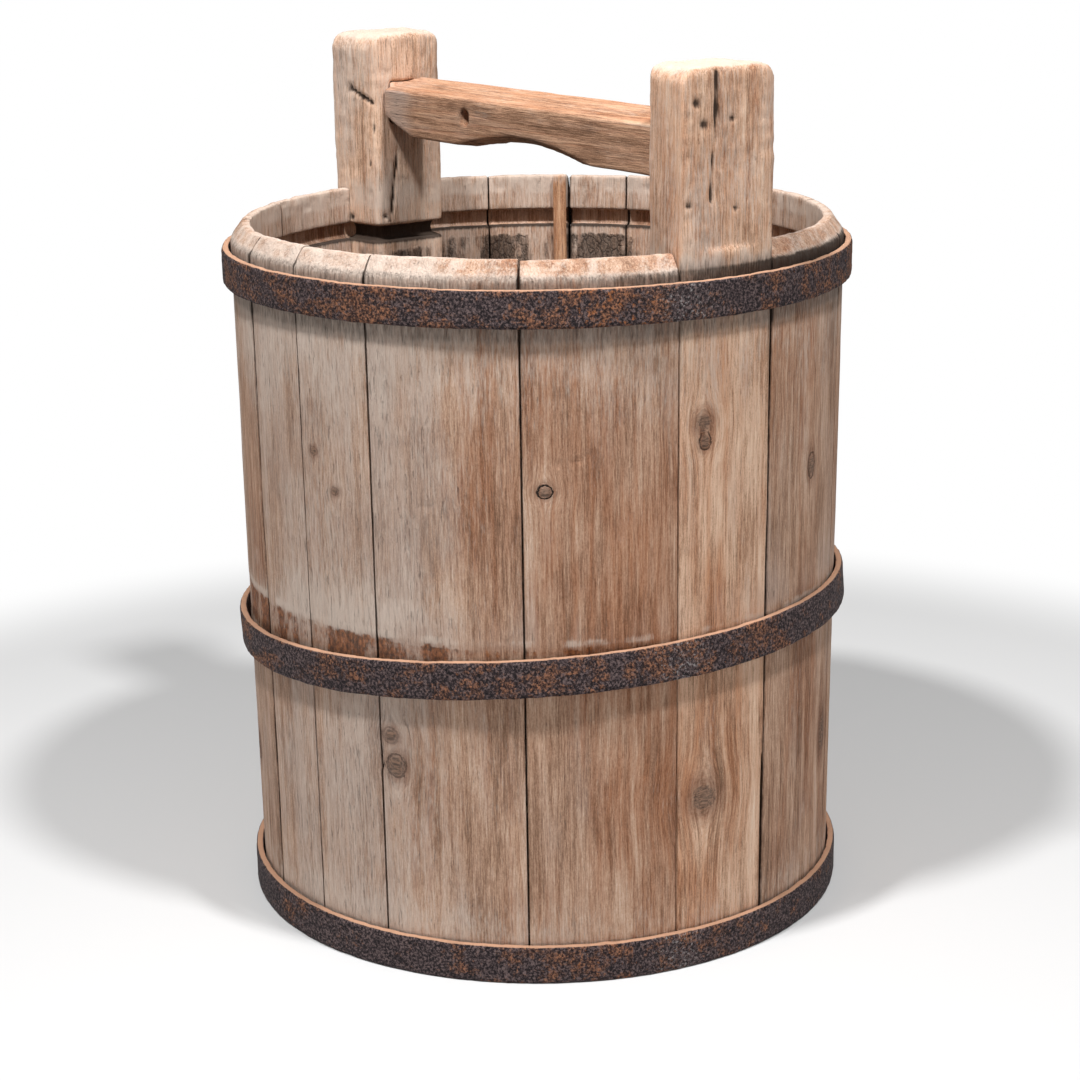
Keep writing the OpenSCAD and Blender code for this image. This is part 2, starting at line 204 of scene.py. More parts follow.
def set_values(obj, **fields):
    """Stores one number, or one vector, for each vertex under each name."""
    for name, values in fields.items():
        values = np.asarray(values, np.float32)
        if values.ndim == 2:
            attribute = obj.data.attributes.new(name, "FLOAT_VECTOR", "POINT")
            attribute.data.foreach_set("vector", values.ravel())
        else:
            attribute = obj.data.attributes.new(name, "FLOAT", "POINT")
            attribute.data.foreach_set("value", values)


def remeshed(name, node, voxel, rounding):
    """A fine even mesh of a CAD node, its edges rounded a little more with each pass of rounding."""
    obj = bpy.data.objects.new(name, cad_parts[node].data.copy())
    bpy.context.scene.collection.objects.link(obj)
    obj.data.materials.clear()
    even = obj.modifiers.new("even", "REMESH")
    even.mode = "VOXEL"
    even.voxel_size = voxel * MM
    if rounding:
        soft = obj.modifiers.new("soft", "SMOOTH")
        soft.factor = 0.5
        soft.iterations = rounding
    depsgraph = bpy.context.evaluated_depsgraph_get()
    mesh = bpy.data.meshes.new_from_object(obj.evaluated_get(depsgraph))
    obj.modifiers.clear()
    obj.data = mesh
    mesh.name = name
    mesh.shade_smooth()
    return obj


def placed(obj, material, slot, *nodes):
    """Gives a piece its material, and says what it rides on and stands for."""
    obj.data.materials.clear()
    obj.data.materials.append(material)
    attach(obj, "root")
    if nodes:
        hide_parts(*nodes)
    return obj


def resampled(corners, spacings):
    """Points along a closed outline, spaced as each side says."""
    points = []
    for i, spacing in enumerate(spacings):
        start = np.array(corners[i], float)
        end = np.array(corners[(i + 1) % len(corners)], float)
        count = max(1, round(float(np.linalg.norm(end - start)) / spacing))
        points += [start + (end - start) * k / count for k in range(count)]
    return np.array(points)


def softened(outline, passes):
    """A closed outline with its corners rounded by averaging."""
    for _ in range(passes):
        outline = (np.roll(outline, 1, axis=0) + 2 * outline + np.roll(outline, -1, axis=0)) / 4
    return outline


def swept(name, sections, closed):
    """A mesh through closed sections, given as (columns, points, 3), with capped ends unless it closes."""
    columns, count = sections.shape[:2]
    index = np.arange(columns * count).reshape(columns, count)
    after = np.roll(index, -1, axis=0) if closed else index[1:]
    before = index if closed else index[:-1]
    quads = np.stack([before, after, np.roll(after, -1, axis=1), np.roll(before, -1, axis=1)], axis=-1)
    faces = quads.reshape(-1, 4).tolist()
    if not closed:
        faces.append(index[0].tolist())
        faces.append(index[-1][::-1].tolist())
    obj = make_object(name, sections.reshape(-1, 3), faces)
    if not closed:
        mark_sharp_ends(obj.data, columns, count)
    return obj


def mark_sharp_ends(mesh, columns, count):
    """Makes the edges round both caps sharp, so that the caps don't bend the shading beside them."""
    ends = np.zeros(len(mesh.edges) * 2, np.int64)
    mesh.edges.foreach_get("vertices", ends)
    column = ends.reshape(-1, 2) // count
    sharp = (column[:, 0] == column[:, 1]) & ((column[:, 0] == 0) | (column[:, 0] == columns - 1))
    attribute = mesh.attributes.new("sharp_edge", "BOOLEAN", "EDGE")
    attribute.data.foreach_set("value", sharp)


# Marks of wear on the wood. Each knot is a direction, a height, its half width across and its half length along.
WALL_KNOTS = [
    (325.9, 309, 4.5, 4.0, 1.0),
    (354.9, 343, 6.0, 6.5, 0.2),
    (355.1, 332, 4.0, 5.5, 0.8),
    (24.8, 299, 4.5, 8.5, 0.6),
    (296.3, 152, 5.5, 5.0, 0.3),
    (297.3, 133, 6.5, 7.5, 0.5),
    (355.6, 108, 11.0, 11.0, 0.1),
    (35.2, 112, 7.0, 15.0, 0.2),
    (286.0, 300, 3.0, 2.5, 0.3),
    (281.0, 322, 3.0, 3.0, 0.2),
    (60.0, 250, 7.0, 9.0, 0.7),
    (74.0, 90, 5.0, 6.0, 0.4),
    (92.0, 330, 6.0, 8.0, 0.6),
    (112.0, 160, 9.0, 11.0, 0.5),
    (131.0, 300, 5.0, 6.0, 0.9),
    (150.0, 110, 7.0, 9.0, 0.4),
    (164.0, 350, 5.0, 7.0, 0.6),
    (184.0, 250, 7.0, 8.0, 0.5),
    (203.0, 140, 8.0, 10.0, 0.7),
    (224.0, 320, 6.0, 7.0, 0.5),
    (247.0, 100, 6.0, 9.0, 0.6),
]
# Small pits: direction, height, half width, half height, depth
WALL_PITS = [
    (331.6, 327, 3.5, 1.3, 1.0),
    (333.4, 331, 2.0, 1.0, 0.8),
    (328.2, 325, 2.5, 1.8, 0.7),
    (338.0, 334, 1.5, 1.0, 0.6),
    (329.3, 364, 1.2, 2.6, 0.7),
    (332.4, 357, 1.4, 1.4, 0.6),
    (334.0, 353, 1.0, 1.0, 0.6),
    (305.0, 298, 4.5, 2.0, 0.6),
    (300.0, 290, 2.2, 1.2, 0.5),
    (311.5, 303, 3.4, 1.2, 0.5),
    (356.7, 44, 2.2, 2.4, 1.0),
    (343.5, 130, 2.0, 1.2, 0.7),
    (338.0, 92, 1.2, 1.6, 0.6),
    (345.0, 58, 1.5, 2.5, 0.6),
    (293.8, 140, 3.5, 5.5, 1.0),
    (294.5, 131, 2.2, 2.0, 1.5),
]

# Cracks of the posts: both ends and the half width
POST_CRACKS = [
    ((193.5, -9.3, 545), (193.5, -10.5, 512), 1.2),
    ((193.5, -10.5, 512), (193.5, -13.8, 472), 0.9),
    ((-148.2, -26.6, 504), (-156.3, -28.1, 460), 0.9),
    ((-174.0, -31.3, 511), (-146.5, -26.3, 499), 0.9),
    ((-150.0, -9.4, 469), (-150.0, -16.7, 421), 0.9),
]
# Knots and pits of the posts: place and radius
POST_SPOTS = [
    ((193.5, -24.2, 527), 2.6),
    ((193.5, -18.4, 515), 3.0),
    ((193.5, 1.9, 517), 1.8),
    ((193.5, -29.0, 470), 1.8),
    ((193.5, 4.6, 466), 1.6),
    ((-174.0, -31.3, 511), 2.4),
    ((-176.5, -31.7, 423), 1.8),
    ((-150.0, -20.5, 425), 1.6),
]


def post_marks(points):
    """How deep in a crack or pit of a post each point lies, from 0 to 1."""
    mark = np.zeros(len(points))
    for start, end, half_width in POST_CRACKS:
        start, end = np.array(start), np.array(end)
        along = np.clip((points - start) @ (end - start) / ((end - start) @ (end - start)), 0, 1)
        wander = half_width * noise(points, (9, 9, 9), 97)
        away = np.linalg.norm(points - start - along[:, None] * (end - start), axis=1) + wander
        mark = np.maximum(mark, bump(away, 0, half_width))
    for centre, radius in POST_SPOTS:
        mark = np.maximum(mark, bump(np.linalg.norm(points - centre, axis=1), 0, radius))
    return mark


def seam_distance(theta, radius):
    """Distance from each point to the nearest seam, in millimetres, and that seam's number."""
    gaps = np.abs(turn_from(theta[:, None], SEAMS[None, :]))
    nearest = gaps.argmin(axis=1)
    return gaps[np.arange(len(theta)), nearest] * np.pi / 180 * radius, nearest


# How far each seam stands open, by its direction; the rest are nearly shut
OPEN_SEAMS = {10: 0.7, 262: 0.6, 294: 0.22, 322: 0.35, 125: 0.7, 138: 1.2, 156: 0.5}


def seam_openness(nearest):
    table = np.array([
        max([0.1] + [open_by for place, open_by in OPEN_SEAMS.items() if abs(turn_from(seam, place)) < 2])
        for seam in SEAMS])
    return table[nearest]


def polar_distance(theta, z, radius, mark):
    """Distance to a mark on the wall, as a share of the mark's half width and half length."""
    across = turn_from(theta, mark[0]) * np.pi / 180 * radius
    return np.hypot(across / mark[2], (z - mark[1]) / mark[3])


def knots_in(theta, z, radius):
    """Distance to the nearest knot, 4 where none is near, and how open that knot's ring is."""
    nearest = np.full(len(theta), 4.0)
    ring = np.zeros(len(theta))
    for knot in WALL_KNOTS:
        away = polar_distance(theta, z, radius, knot)
        ring = np.where(away < nearest, knot[4], ring)
        nearest = np.minimum(nearest, away)
    return nearest, ring


def grain_round_knots(theta, z, radius, across):
    """How far knots push the grain aside, and its rings' bulge over them."""
    push = np.zeros(len(theta))
    bulge = np.zeros(len(theta))
    for knot in WALL_KNOTS:
        side = turn_from(theta, knot[0]) * np.pi / 180 * radius
        along = (z - knot[1]) / (2.2 * knot[3])
        near = np.exp(-along ** 2 - np.abs(side) / (2.2 * knot[2]))
        push -= np.tanh(side / knot[2]) * knot[2] * near
        bulge += 1.4 * knot[2] * near
    return push, bulge


def wall_fields(points, seed):
    """The marks that the wall carries, for staves and posts alike: a dict of values for each point."""
    radius = np.hypot(points[:, 0], points[:, 1])
    theta = direction_of(points)
    z = points[:, 2]
    depth = wall_radius(z) - radius
    outside = step(3.5, 1.0, depth) * step(RIM_HEIGHT + 1, RIM_HEIGHT - 9, z)
    inside = step(9, 12, depth)
    rim_foot = RIM_HEIGHT - RIM_SLOPE_HEIGHT
    rim = step(rim_foot - 3, rim_foot + 2, z)
    seam, nearest = seam_distance(theta, radius)
    openness = seam_openness(nearest)
    knot, ring = knots_in(theta, z, radius)
    knot = np.where(outside > 0.5, knot, 4.0)
    wide = np.stack([theta * 3.3, depth, z], axis=1)
    slow = noise(wide, (40, 40, 130), seed + 1, 2)
    patch = noise(wide, (14, 14, 40), seed + 2, 3)
    ragged = noise(wide, (5, 5, 9), seed + 3, 2)
    # Painted light: the wall facing the left lamp is painted paler, and the right-hand side darker and warmer. The
    # left side also turns greyer with weathering.
    left_painted_light_and_grey = bump(turn_from(theta, 286), 0, 24)
    right_painted_shade_and_warmth = bump(turn_from(theta, 352), 0, 40)

    above_middle = z - middle_hoop_height(theta)
    stain_top = STAIN_HIGH + 1.2 * ragged
    stain = step(stain_top + 1.0, stain_top - 1.0, z) * step(STAIN_LOW, STAIN_LOW + 4, z) * outside
    stain *= 0.55 + 0.45 * step(-0.25, 0.15, patch)
    top_seat = step(TOP_HOOP_HIGH + 7 + ragged, TOP_HOOP_HIGH + 5 + ragged, z)
    top_seat *= outside * step(TOP_HOOP_HIGH - 6, TOP_HOOP_HIGH - 4, z) * bump(turn_from(theta, 20), 0, 34)
    # Painted shadow: dark grey bands just below the top hoop and the slipped hoop.
    top_hoop_painted_shadow = step(TOP_HOOP_LOW - 13 + 2 * ragged, TOP_HOOP_LOW - 6, z) * outside
    middle_hoop_painted_shadow = step(-24, -12, above_middle) * step(0, -4, above_middle) * outside
    foot = step(BOTTOM_HOOP_HIGH + 5 + 2 * ragged, BOTTOM_HOOP_HIGH + 1, z) * outside

    grey = 0.28 + 0.45 * left_painted_light_and_grey - 0.2 * right_painted_shade_and_warmth + 0.35 * slow + 0.3 * patch
    grey += 0.5 * top_hoop_painted_shadow + 0.3 * step(40, 10, above_middle) * step(0, 6, above_middle)
    warm = 0.32 + 0.2 * right_painted_shade_and_warmth - 0.25 * left_painted_light_and_grey - 0.4 * slow + 0.25 * patch
    # The extra paleness on the left is painted light; the rest is weathering.
    pale = 0.12 + 0.22 * left_painted_light_and_grey - 0.12 * right_painted_shade_and_warmth + 0.35 * inside + 0.25 * patch
    pale += 0.55 * step(60, 22, above_middle) * step(12, 24, above_middle) * left_painted_light_and_grey
    pale += 0.35 * step(330, 395, z) * outside + 0.35 * step(60, 26, z) * outside
    pale += 0.8 * bump(z, stain_top + 3.0, 2.2) * outside * step(-0.5, 0.2, patch)
    pale += rim * (0.3 + 0.5 * ragged)
    dirt = 0.5 * top_hoop_painted_shadow + 0.28 * middle_hoop_painted_shadow + 0.6 * top_seat + 0.35 * stain
    dirt += bump(seam, 0, 0.7 + openness) * (0.25 + 0.9 * openness) * (1 - 0.4 * inside)
    # Painted shade: the groove inside the rim is darkened where its upper lip shades it.
    dirt += inside * step(GROOVE_HIGH + 1, GROOVE_HIGH - 2, z) * step(GROOVE_LOW - 4, GROOVE_LOW, z) * 1.3
    dirt += inside * step(GROOVE_LOW, GROOVE_LOW - 6, z) * (0.16 + 0.25 * patch)
    rust = 0.9 * stain + 0.5 * top_seat + 0.35 * foot
    blackest = bump(turn_from(theta, 130), 0, 7) + bump(turn_from(theta, 154), 0, 4)
    below_groove = inside * step(GROOVE_LOW - 4, GROOVE_LOW - 9, z)
    residue = below_groove * (0.36 + 0.5 * slow + 0.5 * blackest)
    return {
        "theta": theta, "radius": radius, "z": z, "depth": depth, "outside": outside, "seam": seam,
        "openness": openness, "knot": knot, "ring": ring, "slow": slow, "patch": patch, "ragged": ragged,
        "grey": grey, "warm": warm, "pale": pale, "dirt": dirt, "rust": rust, "residue": residue,
        "stain": stain,
    }


def growth_rings(across, depth, z, seed):
    """Distance from the tree's heart, in millimetres: what the rings of the grain follow."""
    steady = np.random.RandomState(seed)
    heart_side = steady.uniform(-14, 14)
    heart_depth = steady.uniform(18, 60)
    lean = steady.uniform(-0.10, 0.10)
    return np.hypot(across - heart_side, depth + heart_depth + lean * (z - 220))


def stave_relief(field, seed):
    """How far a stave's surface stands out from its smooth form, in millimetres."""
    place = np.stack([field["theta"] * 3.3, field["depth"], field["z"]], axis=1)
    amount = 0.30 * noise(place, (20, 20, 90), seed + 11) - 0.32
    amount += 0.10 * noise(place, (2.4, 2.4, 45), seed + 12)
    amount += 0.10 * noise(place, (5, 5, 14), seed + 13, 2)
    rough_rim = step(RIM_HEIGHT - 20, RIM_HEIGHT - 6, field["z"])
    amount += rough_rim * (0.5 * noise(place, 16, seed + 14, 2) + 0.2 * noise(place, 3.2, seed + 15))
    amount -= rough_rim * 1.2 * np.maximum(0, noise(place, (7, 7, 7), seed + 16) - 0.45)
    width = 1.0 + 1.0 * field["openness"]
    ripple = 1 + 0.5 * noise(place, (50, 50, 16), seed + 17)
    edge = np.clip(1 - field["seam"] / width, 0, 1) ** 2
    amount -= edge * (0.25 + 1.8 * field["openness"]) * ripple
    amount -= 0.45 * field["stain"]
    for pit in WALL_PITS:
        away = polar_distance(field["theta"], field["z"], field["radius"], pit)
        amount -= field["outside"] * pit[4] * np.exp(-away ** 2)
    amount += field["outside"] * 0.5 * bump(field["knot"], 0.0, 0.7)
    amount -= field["outside"] * 0.6 * field["ring"] * bump(field["knot"], 1.0, 0.15)
    return amount


def middle_hoop_height(theta):
    """Height of the slipped hoop's upper edge at the wall, in each direction."""
    radians = np.radians(theta)
    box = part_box("hoop_middle")
    middle = (box[0].z + box[1].z) / 2 / MM
    rise = (math.tan(math.radians(MIDDLE_HOOP_RISE_X)) * np.cos(radians)
            + math.tan(math.radians(MIDDLE_HOOP_RISE_Y)) * np.sin(radians))
    return middle + wall_radius(middle) * rise + MIDDLE_HOOP_WIDTH / 2


def stave_section():
    """Outline of a plain stave's section as (radius, height), up the outside and down the inside."""
    def inner(z):
        return wall_radius(z) - WALL

    slope_foot = RIM_HEIGHT - RIM_SLOPE_HEIGHT
    corners = [
        (BASE_RADIUS, 0),
        (wall_radius(375), 375),
        (wall_radius(slope_foot), slope_foot),
        (inner(RIM_HEIGHT) + WALL - RIM_SLOPE_WIDTH, RIM_HEIGHT),
        (inner(RIM_HEIGHT), RIM_HEIGHT),
        (inner(GROOVE_HIGH), GROOVE_HIGH),
        (inner(GROOVE_HIGH) + GROOVE_DEPTH, GROOVE_HIGH),
        (inner(GROOVE_LOW) + GROOVE_DEPTH, GROOVE_LOW),
        (inner(GROOVE_LOW), GROOVE_LOW),
        (inner(395), 395),
        (inner(CROZE_HIGH), CROZE_HIGH),
        (inner(CROZE_HIGH) + CROZE_DEPTH, CROZE_HIGH),
        (inner(CROZE_LOW) + CROZE_DEPTH, CROZE_LOW),
        (inner(CROZE_LOW), CROZE_LOW),
        (inner(0), 0),
    ]
    spacings = [2.0, 1.3, 1.0, 1.0, 1.2, 1.2, 1.4, 1.2, 1.4, 3.0, 1.6, 1.6, 1.6, 2.0, 2.0]
    return softened(resampled(corners, spacings), 3)


def make_stave(name, seed):
    """One plain stave with its seams, rim, groove and croze worn."""
    start, end = SPANS[name]
    section = stave_section()
    length = np.radians(end - start) * RIM_RADIUS
    near_seam = np.array([0, 0.35, 0.8, 1.4, 2.2, 3.2])
    count = max(3, round((length - 6.4) / 2.0))
    middle = np.linspace(3.2, length - 3.2, count + 1)[1:-1]
    stops = np.concatenate([near_seam, middle, length - near_seam[::-1]])
    theta = np.radians(start) + stops / RIM_RADIUS
    sections = np.stack([
        np.outer(np.cos(theta), section[:, 0]),
        np.outer(np.sin(theta), section[:, 0]),
        np.broadcast_to(section[:, 1], (len(theta), len(section))),
    ], axis=-1)
    obj = swept(name + "_worn", sections, False)
    points = points_of(obj)
    field = wall_fields(points, seed)
    steady = np.random.RandomState(seed)
    points += normals_of(obj) * stave_relief(field, seed)[:, None]
    shift = steady.uniform(-0.35, 0.05)
    outward = np.stack([np.cos(np.radians(field["theta"])), np.sin(np.radians(field["theta"]))], axis=1)
    points[:, :2] += outward * shift
    points[:, 2] += steady.uniform(-0.5, 0.3) * step(RIM_HEIGHT - 14, RIM_HEIGHT - 2, field["z"])
    move_points(obj, points)
    set_wood_values(obj, field, (start + end) / 2, seed)
    return obj


def set_wood_values(obj, field, middle, seed):
    """Stores the wall's marks and its grain on a piece."""
    across = turn_from(field["theta"], middle) * np.pi / 180 * field["radius"]
    push, bulge = grain_round_knots(field["theta"], field["z"], field["radius"], across)
    keep = field["outside"]
    across = across + push * keep
    place = np.stack([across, field["depth"], field["z"]], axis=1)
    rings = growth_rings(across, field["depth"], field["z"], seed) + bulge * keep
    rings += 1.5 * noise(place, (20, 20, 110), seed + 21, 2)
    offset = np.array([137.0, 53.0, 911.0]) * (seed % 40)
    set_values(
        obj, grain=place + offset, rings=rings, grey=field["grey"], warm=field["warm"], pale=field["pale"],
        dirt=field["dirt"], rust=field["rust"], residue=field["residue"], knot=field["knot"],
        knot_ring=field["ring"])


# Shaders

def srgb(red, green, blue):
    """A colour given in screen values from 0 to 255, as the linear colour that a shader takes."""
    def linear(value):
        part = value / 255
        return part / 12.92 if part <= 0.04045 else ((part + 0.055) / 1.055) ** 2.4
    return (linear(red), linear(green), linear(blue), 1.0)


class Shader:
    """A material's node tree, with a short call for each kind of node that this scene uses."""

    def __init__(self, name):
        self.material = bpy.data.materials.new(name)
        self.material.use_nodes = True
        self.tree = self.material.node_tree
        self.tree.nodes.clear()

    def node(self, kind, inputs, **settings):
        node = self.tree.nodes.new(kind)
        for key, value in settings.items():
            setattr(node, key, value)
        for key, value in inputs.items():
            if isinstance(value, bpy.types.NodeSocket):
                self.tree.links.new(value, node.inputs[key])
            else:
                node.inputs[key].default_value = value
        return node

    def value(self, name):
        return self.node("ShaderNodeAttribute", {}, attribute_name=name).outputs["Fac"]

    def vector(self, name):
        return self.node("ShaderNodeAttribute", {}, attribute_name=name).outputs["Vector"]

    def math(self, operation, a, b=0.0, c=0.0):
        return self.node("ShaderNodeMath", {0: a, 1: b, 2: c}, operation=operation).outputs[0]

    def stretched(self, vector, x, y, z):
        return self.node("ShaderNodeVectorMath", {0: vector, 1: (x, y, z)}, operation="MULTIPLY").outputs[0]

    def noise(self, vector, detail=2.0, roughness=0.5):
        inputs = {"Vector": vector, "Scale": 1.0, "Detail": detail, "Roughness": roughness}
        return self.node("ShaderNodeTexNoise", inputs).outputs["Fac"]

    def rise(self, value, low, high):
        """0 below low, 1 above high, and a smooth rise between."""
        inputs = {"Value": value, "From Min": low, "From Max": high}
        return self.node("ShaderNodeMapRange", inputs, interpolation_type="SMOOTHSTEP").outputs["Result"]

    def mix(self, amount, first, second, blend="MIX"):
        inputs = {0: amount, 6: first, 7: second}
        return self.node("ShaderNodeMix", inputs, data_type="RGBA", blend_type=blend).outputs[2]

    def ramp(self, amount, stops):
        node = self.node("ShaderNodeValToRGB", {"Fac": amount})
        elements = node.color_ramp.elements
        while len(elements) < len(stops):
            elements.new(0.5)
        for element, (place, colour) in zip(elements, stops):
            element.position = place
            element.color = colour
        return node.outputs["Color"]

    def finish(self, colour, roughness, height, depth, specular):
        """The surface: a colour, a roughness and a bump of that depth in millimetres."""
        relief = self.node("ShaderNodeBump", {"Strength": 1.0, "Distance": depth * MM, "Height": height})
        inputs = {"Base Color": colour, "Roughness": roughness, "Normal": relief.outputs["Normal"]}
        surface = self.node("ShaderNodeBsdfPrincipled", inputs)
        surface.inputs["Specular IOR Level"].default_value = specular
        self.node("ShaderNodeOutputMaterial", {"Surface": surface.outputs["BSDF"]})
        return self.material


def wood_material(name, tones, grey_tone, warm_tone, ring_dark=0.16, fleck=1.0):
    """Old weathered wood: fibres, growth rings, grey flecks, knots, grime with painted shade, rust and black
    residue.
    """
    sh = Shader(name)
    grain = sh.vector("grain")
    fibre = sh.noise(sh.stretched(grain, 0.95, 0.95, 0.035), 4.0, 0.62)
    fine = sh.noise(sh.stretched(grain, 2.6, 2.6, 0.14), 3.0, 0.6)
    streak = sh.noise(sh.stretched(grain, 0.16, 0.16, 0.007), 3.0, 0.55)
    cloud = sh.noise(sh.stretched(grain, 0.03, 0.03, 0.012), 3.0, 0.6)
    grit = sh.noise(sh.stretched(grain, 1.3, 1.3, 0.75), 3.0, 0.65)

    tone = sh.math("MULTIPLY", fibre, 0.42)
    tone = sh.math("MULTIPLY_ADD", fine, 0.36, tone)
    tone = sh.math("MULTIPLY_ADD", streak, 0.34, tone)
    tone = sh.math("MULTIPLY_ADD", cloud, 0.28, tone)
    tone = sh.math("MULTIPLY_ADD", grit, 0.20, tone)
    tone = sh.rise(tone, 0.52, 1.08)
    colour = sh.ramp(tone, tones)

    wander = sh.noise(sh.stretched(grain, 0.35, 0.35, 0.02), 2.0)
    rings = sh.math("MULTIPLY_ADD", wander, 2.2, sh.value("rings"))
    phase = sh.math("FRACT", sh.math("DIVIDE", rings, 3.1))
    line = sh.math("MULTIPLY", sh.rise(phase, 0.45, 0.93), sh.rise(phase, 1.0, 0.95))
    line = sh.math("MULTIPLY", line, sh.rise(streak, 0.36, 0.62))
    colour = sh.mix(sh.math("MULTIPLY", line, ring_dark), colour, warm_tone, "MULTIPLY")

    warm = sh.math("MULTIPLY_ADD", sh.noise(sh.stretched(grain, 0.22, 0.22, 0.012), 4.0, 0.6), 1.6, -0.8)
    warm = sh.rise(sh.math("ADD", warm, sh.value("warm")), 0.15, 1.05)
    colour = sh.mix(sh.math("MULTIPLY", warm, 0.75), colour, warm_tone, "MULTIPLY")

    grey = sh.value("grey")
    haze = sh.rise(sh.math("MULTIPLY_ADD", streak, 1.3, sh.math("ADD", grey, -0.65)), 0.05, 1.0)
    colour = sh.mix(sh.math("MULTIPLY", haze, 0.5), colour, grey_tone)
    dashes = sh.noise(sh.stretched(grain, 0.75, 0.75, 0.075), 3.0, 0.7)
    dashes = sh.math("MULTIPLY_ADD", grey, 0.10, dashes)
    dashes = sh.rise(dashes, 0.66, 0.78)
    colour = sh.mix(sh.math("MULTIPLY", dashes, 0.5 * fleck), colour, srgb(112, 98, 92))

    pale = sh.math("MULTIPLY_ADD", sh.noise(sh.stretched(grain, 0.8, 0.8, 0.10), 3.0, 0.65), 1.7, -0.85)
    pale = sh.rise(sh.math("ADD", pale, sh.value("pale")), 0.1, 0.95)
    colour = sh.mix(sh.math("MULTIPLY", pale, 0.62), colour, srgb(226, 210, 196))

    knot = sh.value("knot")
    wobble = sh.noise(sh.stretched(grain, 0.45, 0.45, 0.30), 3.0, 0.6)
    near = sh.math("ADD", knot, sh.math("MULTIPLY_ADD", wobble, 0.9, -0.45))
    halo = sh.rise(near, 2.3, 0.8)
    colour = sh.mix(sh.math("MULTIPLY", halo, 0.5), colour, srgb(134, 92, 62), "MULTIPLY")
    core = sh.rise(near, 1.0, 0.55)
    rough_core = sh.mix(sh.rise(grit, 0.42, 0.6), srgb(78, 66, 60), srgb(146, 116, 96))
    colour = sh.mix(sh.math("MULTIPLY", core, 0.75), colour, rough_core)
    split = sh.math("ABSOLUTE", sh.math("SUBTRACT", near, 1.0))
    split = sh.math("MULTIPLY", sh.rise(split, 0.16, 0.04), sh.value("knot_ring"))
    colour = sh.mix(split, colour, srgb(32, 25, 21))

    rust = sh.noise(sh.stretched(grain, 0.30, 0.30, 0.13), 5.0, 0.65)
    rust = sh.math("ADD", sh.value("rust"), sh.math("MULTIPLY_ADD", rust, 1.5, -1.0))
    rust = sh.rise(rust, 0.12, 0.62)
    rust_colour = sh.ramp(sh.noise(sh.stretched(grain, 0.5, 0.5, 0.3), 4.0, 0.7), [
        (0.35, srgb(66, 42, 30)), (0.5, srgb(128, 74, 42)), (0.62, srgb(176, 112, 68))])
    colour = sh.mix(sh.math("MULTIPLY", rust, 0.85), colour, rust_colour)

    crack = sh.noise(sh.stretched(grain, 0.35, 0.35, 0.25), 2.0)
    place = sh.stretched(grain, 0.22, 0.22, 0.13)
    place = sh.node("ShaderNodeVectorMath", {0: place, 1: crack}, operation="ADD").outputs[0]
    cells = sh.node("ShaderNodeTexVoronoi", {"Vector": place, "Scale": 1.0}, feature="DISTANCE_TO_EDGE")
    cells = cells.outputs["Distance"]
    flake = sh.math("MULTIPLY_ADD", sh.noise(sh.stretched(grain, 0.12, 0.12, 0.03), 4.0, 0.7), 1.5, -0.8)
    flake = sh.rise(sh.math("ADD", flake, sh.value("residue")), 0.2, 0.6)
    gaps = sh.rise(cells, 0.02, 0.10)
    crust = sh.mix(sh.rise(grit, 0.38, 0.66), srgb(48, 38, 33), srgb(118, 98, 84))
    crust = sh.mix(gaps, srgb(28, 20, 16), crust)
    colour = sh.mix(sh.math("MULTIPLY", flake, 0.85), colour, crust)

    # Darkens towards a near-black brown: grime and dark seams, plus painted shade under the hoops, in the groove
    # and under the handle bar.
    dirt = sh.math("MULTIPLY_ADD", sh.noise(sh.stretched(grain, 0.7, 0.7, 0.12), 3.0, 0.6), 0.9, -0.45)
    dirt = sh.rise(sh.math("ADD", dirt, sh.value("dirt")), 0.15, 1.05)
    colour = sh.mix(sh.math("MULTIPLY", dirt, 0.93), colour, srgb(38, 28, 22))

    height = sh.math("MULTIPLY_ADD", fibre, 0.55, sh.math("MULTIPLY", fine, 0.35))
    height = sh.math("MULTIPLY_ADD", grit, 0.35, height)
    height = sh.math("MULTIPLY_ADD", dashes, -0.45, height)
    height = sh.math("MULTIPLY_ADD", line, -0.12, height)
    height = sh.math("MULTIPLY_ADD", split, -0.8, height)
    height = sh.math("MULTIPLY_ADD", sh.math("MULTIPLY", flake, gaps), 0.5, height)
    return sh.finish(colour, 0.82, height, 0.9, 0.25)


